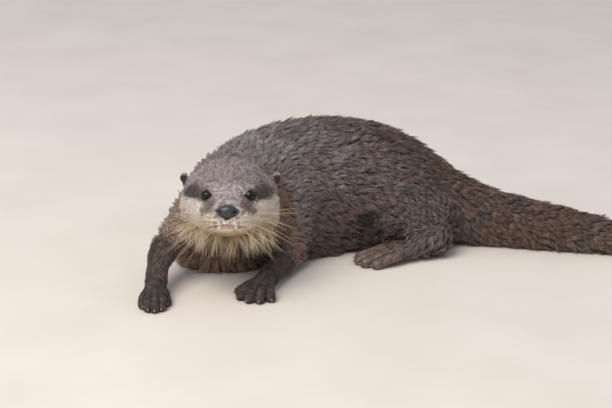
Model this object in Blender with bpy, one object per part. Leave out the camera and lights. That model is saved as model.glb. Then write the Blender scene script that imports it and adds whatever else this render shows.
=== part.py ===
"""A small-clawed otter lying on its belly, head up, body bent round and tail laid out behind.

The whole animal is modelled in one piece, out to the tips of its coat: lofted sections for the head, trunk and
tail, and chains of balls for the legs and toes. It is then fused, thinned, laid flat where it meets the floor and
parted with thin cuts into the parts that a person would name.

While it is modelled the tip of the nose is over the origin, the otter faces -Y and its tail runs to +X. At the
end everything is moved so that the middle of its footprint is the origin.
"""

import math
from collections import namedtuple

import bmesh
import bpy
from mathutils import Matrix, Vector

MM = 0.001

# ---- Driving dimensions -------------------------------------------------------------------------------------
HEAD_WIDTH = 92 * MM  # across the cheeks
HEAD_DEPTH = 63 * MM  # crown to jaw, at the ears
EAR_TO_NOSE = 73 * MM
EAR_LEVEL = 95 * MM  # height of the ears and eyes above the floor
TRUNK_WIDTH = 136 * MM
TRUNK_HEIGHT = 124 * MM
TAIL_ROOT_WIDTH = 62 * MM
EYE_RADIUS = 5.4 * MM
EAR_HEIGHT = 17 * MM
NOSE_WIDTH = 21 * MM
FOREPAW_WIDTH = 27 * MM
HIND_FOOT_LENGTH = 86 * MM
TOE_RADIUS = 4.6 * MM

# ---- How fine the solid is ----------------------------------------------------------------------------------
GAP = 0.3 * MM  # between neighbouring parts
FUSE_VOXEL = 2.0 * MM
SMOOTH_PASSES = 6
TRIANGLES_KEPT = 5200
EVENNESS = 0.001
HEAD_SHARE = -0.4
PAW_SHARE = -0.1
RING_SIDES = 28
RING_STEP = 7 * MM
SQUARENESS = 0.82  # below 1, a section is fuller at its corners than an oval
FLOOR_SINK = 1.2 * MM  # how far feet are modelled below the floor, so that they end in flats

# ---- Materials: base colour and roughness -------------------------------------------------------------------
FINISHES = {
    "brown_coat": ((0.085, 0.055, 0.042), 0.6),
    "face_coat": ((0.36, 0.29, 0.25), 0.6),
    "bare_paw": ((0.06, 0.045, 0.042), 0.45),
    "nose_leather": ((0.035, 0.035, 0.042), 0.4),
    "wet_eye": ((0.008, 0.007, 0.007), 0.08),
}

Section = namedtuple("Section", "place half_width top bottom pear")
Ball = namedtuple("Ball", "place radius")


def at(x, y, z):
    """A point given in millimetres from under the tip of the nose."""
    return Vector((x, y, z)) * MM


# ---- Lofts: the trunk with its tail, and the head -----------------------------------------------------------
def smooth_between(before, start, end, after, share):
    """The Catmull-Rom curve's value between start and end."""
    return 0.5 * (
        2 * start
        + (end - before) * share
        + (2 * before - 5 * start + 4 * end - after) * share**2
        + (3 * start - before - 3 * end + after) * share**3
    )


def filled_in(sections):
    """Sections added between the given ones on smooth curves, so that they are about RING_STEP apart."""
    made = []
    last = len(sections) - 1
    for i in range(last):
        near = [sections[max(0, min(last, i + k))] for k in (-1, 0, 1, 2)]
        steps = max(1, round((near[2].place - near[1].place).length / RING_STEP))
        for k in range(steps):
            values = (smooth_between(*column, k / steps) for column in zip(*near))
            made.append(Section(*values))
    return made + [sections[-1]]


def ring(mesh, section, forward):
    """The edges of one oval section, square to forward. Its pear shape narrows the top and widens the foot."""
    circle = bmesh.ops.create_circle(mesh, segments=RING_SIDES, radius=1.0)["verts"]
    side = forward.cross(Vector((0, 0, 1))).normalized()
    upward = side.cross(forward).normalized()
    middle = (section.top + section.bottom) / 2
    half_height = (section.top - section.bottom) / 2
    for vertex in circle:
        across, high = vertex.co.x, vertex.co.y
        across = math.copysign(abs(across) ** SQUARENESS, across)
        width = section.half_width * across * (1 - section.pear * high)
        vertex.co = section.place + side * width + upward * (middle + half_height * high)
    return [edge for edge in mesh.edges if edge.verts[0] in circle and edge.verts[1] in circle]


def loft(mesh, sections):
    """A closed body through the sections, bridged ring to ring."""
    sections = filled_in(sections)
    places = [section.place for section in sections]
    rings = []
    for i, section in enumerate(sections):
        forward = places[min(i + 1, len(places) - 1)] - places[max(i - 1, 0)]
        rings.append(ring(mesh, section, forward.normalized()))
    for first, second in zip(rings, rings[1:]):
        bmesh.ops.bridge_loops(mesh, edges=first + second)
    bmesh.ops.holes_fill(mesh, edges=rings[0] + rings[-1], sides=0)


def spine_section(x, y, half_width, top, bottom, pear=0.12):
    return Section(at(x, y, 0), half_width * MM, top * MM, bottom * MM, pear)


def trunk_and_tail():
    """The body's sections from the nape to the tip of the tail, each over its point on the floor."""
    wide = TRUNK_WIDTH / MM / 2
    high = TRUNK_HEIGHT / MM
    root = TAIL_ROOT_WIDTH / MM / 2
    return [
        spine_section(-69, 74, 0.56 * wide, 0.86 * high, 46),
        spine_section(-69, 94, 0.72 * wide, 0.895 * high, 30),
        spine_section(-66, 114, 0.80 * wide, 0.905 * high, 8),
        spine_section(-57, 137, 0.87 * wide, 0.93 * high, -10),
        spine_section(-38, 161, 0.94 * wide, 0.97 * high, -18),
        spine_section(-6, 183, 0.98 * wide, high, -20),
        spine_section(32, 197, wide, 0.985 * high, -17),
        spine_section(70, 204, 0.95 * wide, 0.92 * high, -6),
        spine_section(104, 203, 0.88 * wide, 0.79 * high, -4),
        spine_section(132, 198, 0.75 * wide, 0.625 * high, -4),
        spine_section(158, 191, 1.15 * root, 0.50 * high, -3),
        spine_section(190, 181, 0.88 * root, 0.425 * high, -2),
        spine_section(225, 170, 0.74 * root, 0.38 * high, -2),
        spine_section(262, 159, 0.64 * root, 0.325 * high, -1.5),
        spine_section(300, 150, 0.53 * root, 0.262 * high, -1.5),
        spine_section(340, 145, 0.42 * root, 0.198 * high, -1.5),
        spine_section(378, 148, 0.29 * root, 0.134 * high, -1.5),
        spine_section(408, 156, 0.17 * root, 0.08 * high, -1),
        spine_section(416, 159, 0.06 * root, 0.05 * high, 1),
    ]


EAR_MIDPOINT = at(-69, EAR_TO_NOSE / MM, EAR_LEVEL / MM)
HEAD_PITCH = math.radians(2)
HEAD_TURN = Matrix.Rotation(HEAD_PITCH, 3, "X").transposed()


def on_head(side, up, forward):
    """A point in millimetres to the otter's left, up and forward of the midpoint between its ears."""
    return EAR_MIDPOINT + HEAD_TURN @ Vector((side, -forward, up)) * MM


def head_section(forward, half_width, top, bottom, pear):
    """half_width is a share of half the head's width, top and bottom of its depth, counted from ear level."""
    return Section(
        on_head(0, 0, forward),
        half_width * HEAD_WIDTH / 2,
        top * HEAD_DEPTH,
        bottom * HEAD_DEPTH,
        pear,
    )


def head():
    """The head's sections, from inside the neck to the end of the muzzle."""
    return [
        head_section(-34, 0.98, 0.31, -1.12, 0.16),
        head_section(-16, 1.02, 0.355, -1.10, 0.18),
        head_section(0, 1.02, 0.365, -1.00, 0.20),
        head_section(14, 0.98, 0.34, -0.86, 0.22),
        head_section(26, 0.91, 0.275, -0.73, 0.23),
        head_section(36, 0.79, 0.185, -0.65, 0.23),
        head_section(46, 0.65, 0.08, -0.60, 0.20),
        head_section(56, 0.54, 0.005, -0.57, 0.14),
        head_section(65, 0.42, -0.035, -0.52, 0.10),
        head_section(70, 0.30, -0.08, -0.46, 0.08),
        head_section(73, 0.15, -0.15, -0.38, 0.05),
    ]


# ---- Chains of balls: legs, toes and the fuller places ------------------------------------------------------
def ball(mesh, place, radius, scale=(1, 1, 1)):
    """One ball, which scale may stretch along X, Y and Z."""
    where = Matrix.Translation(place) @ Matrix.Diagonal((*scale, 1))
    bmesh.ops.create_icosphere(mesh, subdivisions=2, radius=radius, matrix=where)


def hull_of(build):
    """A function that adds the convex hull of the shape that build makes."""

    def add(mesh):
        hull = bmesh.new()
        build(hull)
        bmesh.ops.delete(hull, geom=hull.edges[:], context="EDGES_FACES")
        bmesh.ops.convex_hull(hull, input=hull.verts[:])
        inside = [vertex for vertex in hull.verts if not vertex.link_faces]
        bmesh.ops.delete(hull, geom=inside, context="VERTS")
        data = bpy.data.meshes.new("hull")
        hull.to_mesh(data)
        hull.free()
        mesh.from_mesh(data)
        bpy.data.meshes.remove(data)

    return add


def link(mesh, first, second):
    """The skin stretched round two balls: one tapered length of a limb with round ends."""

    def both(hull):
        ball(hull, *first)
        ball(hull, *second)

    hull_of(both)(mesh)


def chain(mesh, *balls):
    for first, second in zip(balls, balls[1:]):
        link(mesh, first, second)


def leg_ball(place, radius):
    return Ball(at(*place), radius * MM)


RIGHT_SHOULDER = leg_ball((-95, 121, 58), 27)
RIGHT_UPPER_ARM = leg_ball((-113, 97, 49), 20)
RIGHT_ELBOW = leg_ball((-126, 69, 37), 18)
RIGHT_FOREARM = leg_ball((-134, 46, 29), 14)
RIGHT_WRIST = leg_ball((-135, 27, 14), 11)
LEFT_SHOULDER = leg_ball((-26, 126, 60), 28)
LEFT_UPPER_ARM = leg_ball((-14, 112, 36), 22)
LEFT_ELBOW = leg_ball((-14, 101, 16), 16)
LEFT_FOREARM = leg_ball((-24, 72, 16), 13)
LEFT_WRIST = leg_ball((-34, 47, 13), 10.5)
LEFT_HIP = leg_ball((110, 192, 48), 34)
LEFT_KNEE = leg_ball((88, 171, 44), 32)
LEFT_SHANK = leg_ball((113, 152, 33), 25)
LEFT_HOCK = leg_ball((128, 135, 16), 14)
RIGHT_HIP = leg_ball((114, 214, 46), 34)
RIGHT_KNEE = leg_ball((92, 236, 44), 31)
RIGHT_SHANK = leg_ball((116, 250, 30), 24)
RIGHT_HOCK = leg_ball((135, 260, 16), 14)
LEFT_FOOT_HEADING = math.radians(196)
RIGHT_FOOT_HEADING = math.radians(156)

# A toe's root and tip, in widths of the paw: to the paw's left and forward of the middle of its knuckles.
FORE_TOES = (
    ((0.36, -0.45), (0.52, -0.02)),
    ((0.27, -0.02), (0.32, 0.44)),
    ((0.04, 0.06), (0.04, 0.58)),
    ((-0.19, 0.02), (-0.23, 0.50)),
    ((-0.36, -0.20), (-0.46, 0.22)),
)
HIND_TOES = (
    ((0.40, -0.30), (0.56, 0.42)),
    ((0.22, -0.05), (0.32, 0.86)),
    ((0.00, 0.00), (0.02, 0.98)),
    ((-0.22, -0.05), (-0.28, 0.88)),
    ((-0.40, -0.25), (-0.52, 0.60)),
)


def paw(mesh, knuckles, heading, width, toes, spread, knuckle_height, mirrored=False):
    """Toes fanned round the heading, each a chain from its root over a bent joint to a fuller tip."""
    forward = Vector((math.cos(heading), math.sin(heading), 0))
    leftward = Vector((-forward.y, forward.x, 0)) * (-1 if mirrored else 1)
    middle = at(*knuckles)
    radius = TOE_RADIUS * width / FOREPAW_WIDTH
    for (root_side, root_ahead), (tip_side, tip_ahead) in toes:
        root = middle + leftward * root_side * width + forward * root_ahead * width
        tip = middle + leftward * tip_side * width * spread + forward * tip_ahead * width
        joint = root.lerp(tip, 0.55)
        root.z = knuckle_height
        joint.z = max(knuckle_height * 0.92, radius)
        tip.z = radius - FLOOR_SINK
        chain(mesh, Ball(root, radius), Ball(joint, radius * 0.86), Ball(tip, radius * 0.98))


def forelegs(mesh):
    chain(mesh, RIGHT_SHOULDER, RIGHT_UPPER_ARM, RIGHT_ELBOW, RIGHT_FOREARM, RIGHT_WRIST)
    chain(mesh, RIGHT_WRIST, leg_ball((-135, 8, 8), 8.5))
    chain(mesh, leg_ball((-141, 14, 7), 7.5), leg_ball((-129, 13, 7), 7.5))
    paw(mesh, (-135, 4, 0), math.radians(-88), FOREPAW_WIDTH, FORE_TOES, 0.8, 8.5 * MM)
    chain(mesh, LEFT_SHOULDER, LEFT_UPPER_ARM, LEFT_ELBOW, LEFT_FOREARM, LEFT_WRIST)
    chain(mesh, LEFT_WRIST, leg_ball((-43, 29, 8), 8.5))
    chain(mesh, leg_ball((-49, 36, 7), 7.5), leg_ball((-35, 31, 7), 7.5))
    paw(mesh, (-44, 26, 0), math.radians(-112), FOREPAW_WIDTH, FORE_TOES, 1.3, 8.5 * MM, True)


def hind_legs(mesh):
    for hip, knee, shank, hock, heading, mirrored in (
        (LEFT_HIP, LEFT_KNEE, LEFT_SHANK, LEFT_HOCK, LEFT_FOOT_HEADING, True),
        (RIGHT_HIP, RIGHT_KNEE, RIGHT_SHANK, RIGHT_HOCK, RIGHT_FOOT_HEADING, False),
    ):
        forward = Vector((math.cos(heading), math.sin(heading), 0))
        instep = hock.place + forward * 0.28 * HIND_FOOT_LENGTH
        ball_of_foot = hock.place + forward * 0.56 * HIND_FOOT_LENGTH
        instep.z = 11.5 * MM
        ball_of_foot.z = 9 * MM
        chain(mesh, hip, knee, shank, hock, Ball(instep, 12 * MM), Ball(ball_of_foot, 10 * MM))
        across = Vector((-forward.y, forward.x, 0)) * 7 * MM
        chain(mesh, Ball(ball_of_foot - across, 8 * MM), Ball(ball_of_foot + across, 8 * MM))
        chain(mesh, Ball(ball_of_foot - across, 8 * MM), Ball(instep, 11 * MM))
        chain(mesh, Ball(ball_of_foot + across, 8 * MM), Ball(instep, 11 * MM))
        knuckles = (ball_of_foot + forward * 2 * MM) / MM
        paw(mesh, knuckles, heading, 31 * MM, HIND_TOES, 1.0, 9.5 * MM, mirrored)


def fuller_places(mesh):
    """Whisker pads, chin, cheeks and brows on the head, and the chest between the elbows."""
    for side in (-1, 1):
        ball(mesh, on_head(12 * side, -16, 60), 13 * MM, (1.0, 0.86, 0.82))
        ball(mesh, on_head(30 * side, -14, 22), 19 * MM, (0.9, 1.1, 1.0))
        ball(mesh, on_head(19 * side, -0.5, 33), 10 * MM, (1.2, 1.1, 0.8))
    ball(mesh, on_head(0, -27, 56), 11 * MM, (1.3, 1.0, 0.8))
    ball(mesh, on_head(0, -9.5, 60), 9 * MM, (0.95, 1.1, 0.8))
    ball(mesh, at(-78, 122, 22), 42 * MM, (1.25, 1.0, 0.9))


def ears(mesh):
    """Each ear is a thick round flap that faces forward and a little outward."""
    for side in (-1, 1):
        middle = on_head(42 * side, 1.5, -3)
        flap = Matrix.Diagonal((0.78, 0.36, 1.0, 1))
        turned = Matrix.Rotation(math.radians(-34 * side), 4, "Z")
        leaning = Matrix.Rotation(math.radians(12 * side), 4, "Y")
        where = Matrix.Translation(middle) @ turned @ leaning @ flap
        bmesh.ops.create_icosphere(mesh, subdivisions=2, radius=EAR_HEIGHT / 2, matrix=where)


# ---- From overlapping shapes to one solid -------------------------------------------------------------------
def new_object(name, mesh):
    made = bpy.data.objects.new(name, mesh)
    bpy.context.scene.collection.objects.link(made)
    return made


def object_from(name, build):
    """An object of the shape that the function build makes in a bmesh."""
    mesh = bmesh.new()
    build(mesh)
    bmesh.ops.recalc_face_normals(mesh, faces=mesh.faces)
    data = bpy.data.meshes.new(name)
    mesh.to_mesh(data)
    mesh.free()
    return new_object(name, data)


def bake(thing):
    """Replaces the object's mesh with what its modifiers make of it."""
    bpy.context.view_layer.update()
    graph = bpy.context.evaluated_depsgraph_get()
    data = bpy.data.meshes.new_from_object(thing.evaluated_get(graph))
    thing.modifiers.clear()
    thing.data = data


def discard(thing):
    bpy.data.objects.remove(thing)


def fuse(thing):
    """One closed surface round all the overlapping shapes, with the creases between them softened."""
    remesh = thing.modifiers.new("fuse", "REMESH")
    remesh.mode = "VOXEL"
    remesh.voxel_size = FUSE_VOXEL
    soften = thing.modifiers.new("soften", "SMOOTH")
    soften.factor = 0.5
    soften.iterations = SMOOTH_PASSES
    bake(thing)


def closeness(point, place, near, far):
    """1 within near of the place, 0 beyond far, and a straight ramp between."""
    return max(0.0, min(1.0, (far - (point - place).length) / (far - near)))


def thin_out(thing):
    """Fewer triangles, kept denser on the head and thinned more freely on the toes, which start with the most."""
    shares = (
        (on_head(0, -8, 40), 0.05, 0.09, HEAD_SHARE),
        (RIGHT_WRIST.place, 0.03, 0.055, PAW_SHARE),
        (LEFT_WRIST.place, 0.035, 0.06, PAW_SHARE),
        (LEFT_HOCK.place + at(-55, -22, -8), 0.03, 0.055, PAW_SHARE),
        (RIGHT_HOCK.place + at(-55, 22, -8), 0.03, 0.055, PAW_SHARE),
    )
    group = thing.vertex_groups.new(name="how_freely_thinned")
    for vertex in thing.data.vertices:
        freely = 0.5 + sum(share * closeness(vertex.co, place, near, far) for place, near, far, share in shares)
        group.add([vertex.index], freely, "REPLACE")
    thin = thing.modifiers.new("thin", "DECIMATE")
    thin.ratio = TRIANGLES_KEPT / (2 * len(thing.data.polygons))
    thin.vertex_group = group.name
    thin.vertex_group_factor = EVENNESS
    thin.use_collapse_triangulate = True
    bake(thing)
    thing.vertex_groups.clear()


def boolean(thing, other, operation):
    cut = thing.modifiers.new(operation, "BOOLEAN")
    cut.operation = operation
    cut.solver = "EXACT"
    cut.object = other
    bake(thing)


def lay_on_floor(thing):
    """Cuts away what is below the floor, which leaves the small flats that the otter rests on."""

    def slab(mesh):
        below = Matrix.Translation(at(150, 150, -50)) @ Matrix.Diagonal((0.8, 0.6, 0.1, 1))
        bmesh.ops.create_cube(mesh, size=1, matrix=below)

    floor = object_from("floor", slab)
    boolean(thing, floor, "DIFFERENCE")
    discard(floor)


# ---- Parting ------------------------------------------------------------------------------------------------
def loose_pieces(thing):
    """The separate bodies of the object's mesh, as sets of its faces."""
    mesh = bmesh.new()
    mesh.from_mesh(thing.data)
    mesh.faces.ensure_lookup_table()
    unseen, pieces = set(range(len(mesh.faces))), []
    while unseen:
        todo = [unseen.pop()]
        piece = set(todo)
        while todo:
            for edge in mesh.faces[todo.pop()].edges:
                beside = {face.index for face in edge.link_faces} & unseen
                unseen -= beside
                piece |= beside
                todo += beside
        pieces.append(piece)
    mesh.free()
    return pieces


def keep_faces(thing, name, kept):
    """A new object that holds only the kept faces."""
    mesh = bmesh.new()
    mesh.from_mesh(thing.data)
    mesh.faces.ensure_lookup_table()
    dropped = [face for face in mesh.faces if face.index not in kept]
    bmesh.ops.delete(mesh, geom=dropped, context="FACES")
    data = bpy.data.meshes.new(name)
    mesh.to_mesh(data)
    mesh.free()
    return new_object(name, data)


def part_off(body, name, cutter, how_far):
    """Cuts the body with a thin cutter and returns (what is left, the piece whose faces how_far puts furthest)."""
    boolean(body, cutter, "DIFFERENCE")
    discard(cutter)
    pieces = loose_pieces(body)
    if len(pieces) != 2:
        raise ValueError(f"the cut for {name} left {len(pieces)} pieces")

    def mean_distance(piece):
        return sum(how_far(body.data.polygons[i].center) for i in piece) / len(piece)

    rest, beyond = sorted(pieces, key=mean_distance)
    parted = keep_faces(body, name, beyond)
    left_over = keep_faces(body, body.name, rest)
    left_over_name = body.name
    discard(body)
    left_over.name = left_over_name
    return left_over, parted


def across(body, name, centre, toward, reach):
    """Parts off what lies beyond a flat disc, in the direction toward."""

    def disc(mesh):
        facing = toward.normalized().to_track_quat("Z", "Y").to_matrix().to_4x4()
        bmesh.ops.create_cone(
            mesh,
            cap_ends=True,
            segments=48,
            radius1=reach * MM,
            radius2=reach * MM,
            depth=GAP,
            matrix=Matrix.Translation(centre) @ facing,
        )

    def beyond(point):
        near = (point - centre).length < reach * MM
        return (point - centre).dot(toward) if near else 0.0

    return part_off(body, name, object_from("cutter", disc), beyond)


def around(body, name, centre, heading, half_sizes):
    """Parts off what lies inside an egg-shaped shell, whose first half size runs along the heading."""
    turned = Matrix.Translation(centre) @ Matrix.Rotation(heading, 4, "Z")

    def egg(margin):
        sizes = [half * MM + margin for half in half_sizes]
        where = turned @ Matrix.Diagonal((*sizes, 1))
        return lambda mesh: bmesh.ops.create_icosphere(mesh, subdivisions=2, radius=1, matrix=where)

    shell = object_from("cutter", egg(GAP))
    hollow = object_from("hollow", egg(0))
    boolean(shell, hollow, "DIFFERENCE")
    discard(hollow)
    return part_off(body, name, shell, lambda point: -(point - centre).length)


def part_the_body(whole):
    """All the flesh parts by name. Ears and limbs come off first, so that the long cuts miss them."""
    parts = {}

    def off(cut, name, *where, body=None):
        """Parts the named piece from the trunk, or from the part called body."""
        if body:
            parts[body], parts[name] = cut(parts[body], name, *where)
        else:
            parts["trunk"], parts[name] = cut(parts["trunk"], name, *where)

    parts["trunk"] = whole
    off(across, "ear_left", on_head(41, 1, -3), Vector((1, 0, 0.45)), 12)
    off(across, "ear_right", on_head(-41, 1, -3), Vector((-1, 0, 0.45)), 12)
    off(across, "foreleg_right", at(-127, 66, 36), Vector((-0.42, -0.88, -0.35)), 20)
    off(across, "foreleg_left", at(-20, 84, 16), Vector((-0.3, -0.95, 0)), 17)
    for side, wrist, elbow in (("right", RIGHT_WRIST, RIGHT_FOREARM), ("left", LEFT_WRIST, LEFT_FOREARM)):
        down = wrist.place - elbow.place
        off(across, f"forepaw_{side}", wrist.place, down, 19, body=f"foreleg_{side}")
    for side, hock, heading in (("left", LEFT_HOCK, LEFT_FOOT_HEADING), ("right", RIGHT_HOCK, RIGHT_FOOT_HEADING)):
        ahead = Vector((math.cos(heading), math.sin(heading), 0))
        middle_of_foot = hock.place + ahead * 42 * MM - Vector((0, 0, 7 * MM))
        off(across, f"hindfoot_{side}", middle_of_foot, ahead, 19)
    off(around, "hindleg_left", at(104, 142, 24), math.radians(14), (52, 40, 48))
    off(around, "hindleg_right", at(108, 264, 24), math.radians(-14), (52, 40, 48))
    off(across, "tail_root", at(158, 191, 30), Vector((1, -0.28, 0)), 60)
    off(across, "tail_middle", at(244, 164, 20), Vector((1, -0.28, 0)), 50, body="tail_root")
    off(across, "tail_tip", at(326, 146, 12), Vector((1, -0.1, 0)), 40, body="tail_middle")
    off(around, "head", at(-69, 38, 84), 0, (66, 56, 62))
    off(around, "neck", at(-68, 90, 92), 0, (58, 40, 56))
    off(across, "loins", at(48, 200, 58), Vector((1, 0.05, 0)), 110)
    parts["chest"] = parts.pop("trunk")
    for name, thing in parts.items():
        thing.name = name
    return parts


# ---- Eyes and nose, set into the head -----------------------------------------------------------------------
EYE_PLACES = {"eye_left": on_head(18.4, -1.5, 42), "eye_right": on_head(-18.4, -1.5, 42)}
NOSE_PLACE = on_head(0, -8, 68)


def round_ball(place, radius, segments=16, rings=10):
    def build(mesh):
        where = Matrix.Translation(place)
        bmesh.ops.create_uvsphere(
            mesh, u_segments=segments, v_segments=rings, radius=radius, matrix=where
        )

    return build


def nose_pad(margin):
    """A rounded pad, wide at the nostrils and narrower below, larger all round by the margin."""

    def build(mesh):
        half = NOSE_WIDTH / 2
        for side in (-1, 1):
            upper = NOSE_PLACE + HEAD_TURN @ Vector((side * half * 0.52, 0.0, 0.0018))
            ball(mesh, upper, half * 0.47 + margin, (1.0, 1.05, 0.9))
        ball(mesh, NOSE_PLACE + at(0, -0.6, -2.6), half * 0.52 + margin, (1.0, 1.0, 0.92))

    return hull_of(build)


def set_into(head_object, name, piece, seat):
    """Cuts the seat from the head, a little larger than the piece, and puts the piece there."""
    cutter = object_from("seat", seat)
    boolean(head_object, cutter, "DIFFERENCE")
    discard(cutter)
    return object_from(name, piece)


# ---- Finish -------------------------------------------------------------------------------------------------
def material(name):
    colour, roughness = FINISHES[name]
    made = bpy.data.materials.new(name)
    made.use_nodes = True
    surface = made.node_tree.nodes["Principled BSDF"]
    surface.inputs["Base Color"].default_value = (*colour, 1)
    surface.inputs["Roughness"].default_value = roughness
    made.diffuse_color = (*colour, 1)
    return made


def finish_of(name):
    if name.startswith("eye"):
        return "wet_eye"
    if name == "nose":
        return "nose_leather"
    if name.startswith(("forepaw", "hindfoot")):
        return "bare_paw"
    return "face_coat" if name == "head" else "brown_coat"


def centre_on_floor(things):
    """Moves every part so that the origin is the middle of the otter's footprint."""
    corners = [vertex.co for thing in things for vertex in thing.data.vertices]
    low = Vector(min(corner[k] for corner in corners) for k in range(3))
    high = Vector(max(corner[k] for corner in corners) for k in range(3))
    shift = Vector((-(low.x + high.x) / 2, -(low.y + high.y) / 2, 0))
    for thing in things:
        thing.data.transform(Matrix.Translation(shift))
    return shift


def otter():
    for thing in list(bpy.data.objects):
        bpy.data.objects.remove(thing)

    def overlapping_shapes(mesh):
        loft(mesh, trunk_and_tail())
        loft(mesh, head())
        forelegs(mesh)
        hind_legs(mesh)
        fuller_places(mesh)
        ears(mesh)

    whole = object_from("otter", overlapping_shapes)
    fuse(whole)
    thin_out(whole)
    lay_on_floor(whole)
    parts = part_the_body(whole)
    for name, place in EYE_PLACES.items():
        piece = round_ball(place, EYE_RADIUS)
        seat = round_ball(place, EYE_RADIUS + GAP)
        parts[name] = set_into(parts["head"], name, piece, seat)
    parts["nose"] = set_into(parts["head"], "nose", nose_pad(0), nose_pad(GAP))
    finishes = {name: material(name) for name in FINISHES}
    for name, thing in parts.items():
        thing.data.materials.clear()
        thing.data.materials.append(finishes[finish_of(name)])
    return parts, centre_on_floor(list(parts.values()))


PARTS, SHIFT = otter()
print("footprint centred by", [round(v / MM, 2) for v in SHIFT], "mm")
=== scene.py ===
# %% [markdown]
# # A small-clawed otter, resting on its belly
#
# The otter's measured solids come in as a fixed frame, and this notebook dresses them: one skin
# without seams, eyes, a nose, claws, whiskers, and a coat of small pointed tufts that lie back along
# the body. Every place is worked out from the frame, so the looks follow the solids by themselves.

# %% Load the frame
import math

import bmesh
import bpy
import numpy as np
from mathutils import Matrix, Vector, noise
from mathutils.bvhtree import BVHTree
from mathutils.kdtree import KDTree


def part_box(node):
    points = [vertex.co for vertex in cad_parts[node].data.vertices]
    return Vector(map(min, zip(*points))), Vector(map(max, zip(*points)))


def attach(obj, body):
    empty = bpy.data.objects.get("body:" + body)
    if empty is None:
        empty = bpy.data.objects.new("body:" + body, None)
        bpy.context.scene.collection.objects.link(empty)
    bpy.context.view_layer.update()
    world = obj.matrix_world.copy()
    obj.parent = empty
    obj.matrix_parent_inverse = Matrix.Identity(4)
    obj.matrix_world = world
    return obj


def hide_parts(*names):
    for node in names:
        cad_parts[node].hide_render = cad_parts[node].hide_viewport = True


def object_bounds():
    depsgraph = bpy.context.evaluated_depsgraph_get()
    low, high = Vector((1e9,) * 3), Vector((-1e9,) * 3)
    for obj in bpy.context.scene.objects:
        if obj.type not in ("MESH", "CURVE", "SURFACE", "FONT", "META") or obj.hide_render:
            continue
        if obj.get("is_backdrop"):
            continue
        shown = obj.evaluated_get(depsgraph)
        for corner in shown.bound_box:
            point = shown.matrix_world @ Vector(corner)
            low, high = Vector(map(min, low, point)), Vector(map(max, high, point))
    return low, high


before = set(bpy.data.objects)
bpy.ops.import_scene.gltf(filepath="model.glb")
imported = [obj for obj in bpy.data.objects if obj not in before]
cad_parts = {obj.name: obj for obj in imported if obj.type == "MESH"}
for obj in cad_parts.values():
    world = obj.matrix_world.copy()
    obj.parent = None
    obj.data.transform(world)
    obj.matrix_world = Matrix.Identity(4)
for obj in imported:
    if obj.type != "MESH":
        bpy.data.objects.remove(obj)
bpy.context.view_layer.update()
scene = bpy.context.scene
MM = 0.001

# %% [markdown]
# ## Camera, floor and light
#
# A camera low in front of the animal looks down on it a little, with a long lens, so the face isn't
# stretched. The floor is a plain pale plane. A museum would light such a model from a large soft
# source overhead, which here is one wide area light, with a pale sky around it to fill the shadows.

# %% Camera
CAMERA_PLACE = (-0.13375, -1.68125, 0.596)
CAMERA_PITCH = 18
FOCAL_LENGTH = 108.8

camera = bpy.data.objects.new("camera", bpy.data.cameras.new("camera"))
camera.data.sensor_width = 36
camera.data.lens = FOCAL_LENGTH
camera.location = CAMERA_PLACE
camera.rotation_euler = (math.radians(90 - CAMERA_PITCH), 0, 0)
scene.collection.objects.link(camera)
scene.camera = camera
scene.view_settings.view_transform = "Standard"


# %% Colours and simple node helpers
def paint(red, green, blue):
    """A colour picked on a 0 to 255 scale, as the linear values that a shader takes."""
    shares = np.array([red, green, blue]) / 255
    linear = np.where(shares <= 0.04045, shares / 12.92, ((shares + 0.055) / 1.055) ** 2.4)
    return (*[float(v) for v in linear], 1.0)


def new_material(name, **settings):
    """A material with its Principled node's plain values set: (material, nodes, links, shader)."""
    material = bpy.data.materials.new(name)
    material.use_nodes = True
    nodes = material.node_tree.nodes
    shader = nodes["Principled BSDF"]
    for socket, value in settings.items():
        shader.inputs[socket.replace("_", " ")].default_value = value
    return material, nodes, material.node_tree.links, shader


def add(nodes, kind, **settings):
    """A new node of that kind, with its settings, and its inputs by name given as a dict."""
    node = nodes.new(kind)
    for socket, value in settings.pop("inputs", {}).items():
        node.inputs[socket].default_value = value
    for key, value in settings.items():
        setattr(node, key, value)
    return node


def mix(nodes, links, factor, first, second, blend="MIX"):
    """The Color output of a Mix node. Each input is an output socket or a plain value."""
    node = add(nodes, "ShaderNodeMix", data_type="RGBA", blend_type=blend)
    for socket, value in zip((node.inputs[0], node.inputs[6], node.inputs[7]), (factor, first, second)):
        if isinstance(value, bpy.types.NodeSocket):
            links.new(value, socket)
        else:
            socket.default_value = value
    return node.outputs[2]


# %% Floor and light
FLOOR_SIZE = 14

floor_mesh = bmesh.new()
bmesh.ops.create_grid(floor_mesh, x_segments=8, y_segments=8, size=FLOOR_SIZE / 2)
floor = bpy.data.objects.new("floor", bpy.data.meshes.new("floor"))
floor_mesh.to_mesh(floor.data)
scene.collection.objects.link(floor)
stone, nodes, links, shader = new_material("pale_floor", Roughness=0.85)
cloud = add(nodes, "ShaderNodeTexNoise", inputs={"Scale": 9.0, "Detail": 6.0})
links.new(add(nodes, "ShaderNodeTexCoord").outputs["Object"], cloud.inputs["Vector"])
links.new(mix(nodes, links, cloud.outputs["Fac"], paint(216, 205, 195), paint(234, 225, 216)),
          shader.inputs["Base Color"])
floor.data.materials.append(stone)
floor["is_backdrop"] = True

world = bpy.data.worlds.new("soft_sky")
scene.world = world
world.use_nodes = True
world.node_tree.nodes["Background"].inputs["Color"].default_value = (0.86, 0.92, 1.0, 1)
world.node_tree.nodes["Background"].inputs["Strength"].default_value = 0.55
lamp = bpy.data.objects.new("window", bpy.data.lights.new("window", "AREA"))
lamp.data.size = 1.8
lamp.data.energy = 62
lamp.data.color = (1.0, 0.96, 0.9)
lamp.location = (-1.1, -1.3, 2.1)
lamp.rotation_euler = (Vector((-0.1, 0.0, 0.05)) - Vector(lamp.location)).to_track_quat("-Z", "Y").to_euler()
scene.collection.objects.link(lamp)
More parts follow.
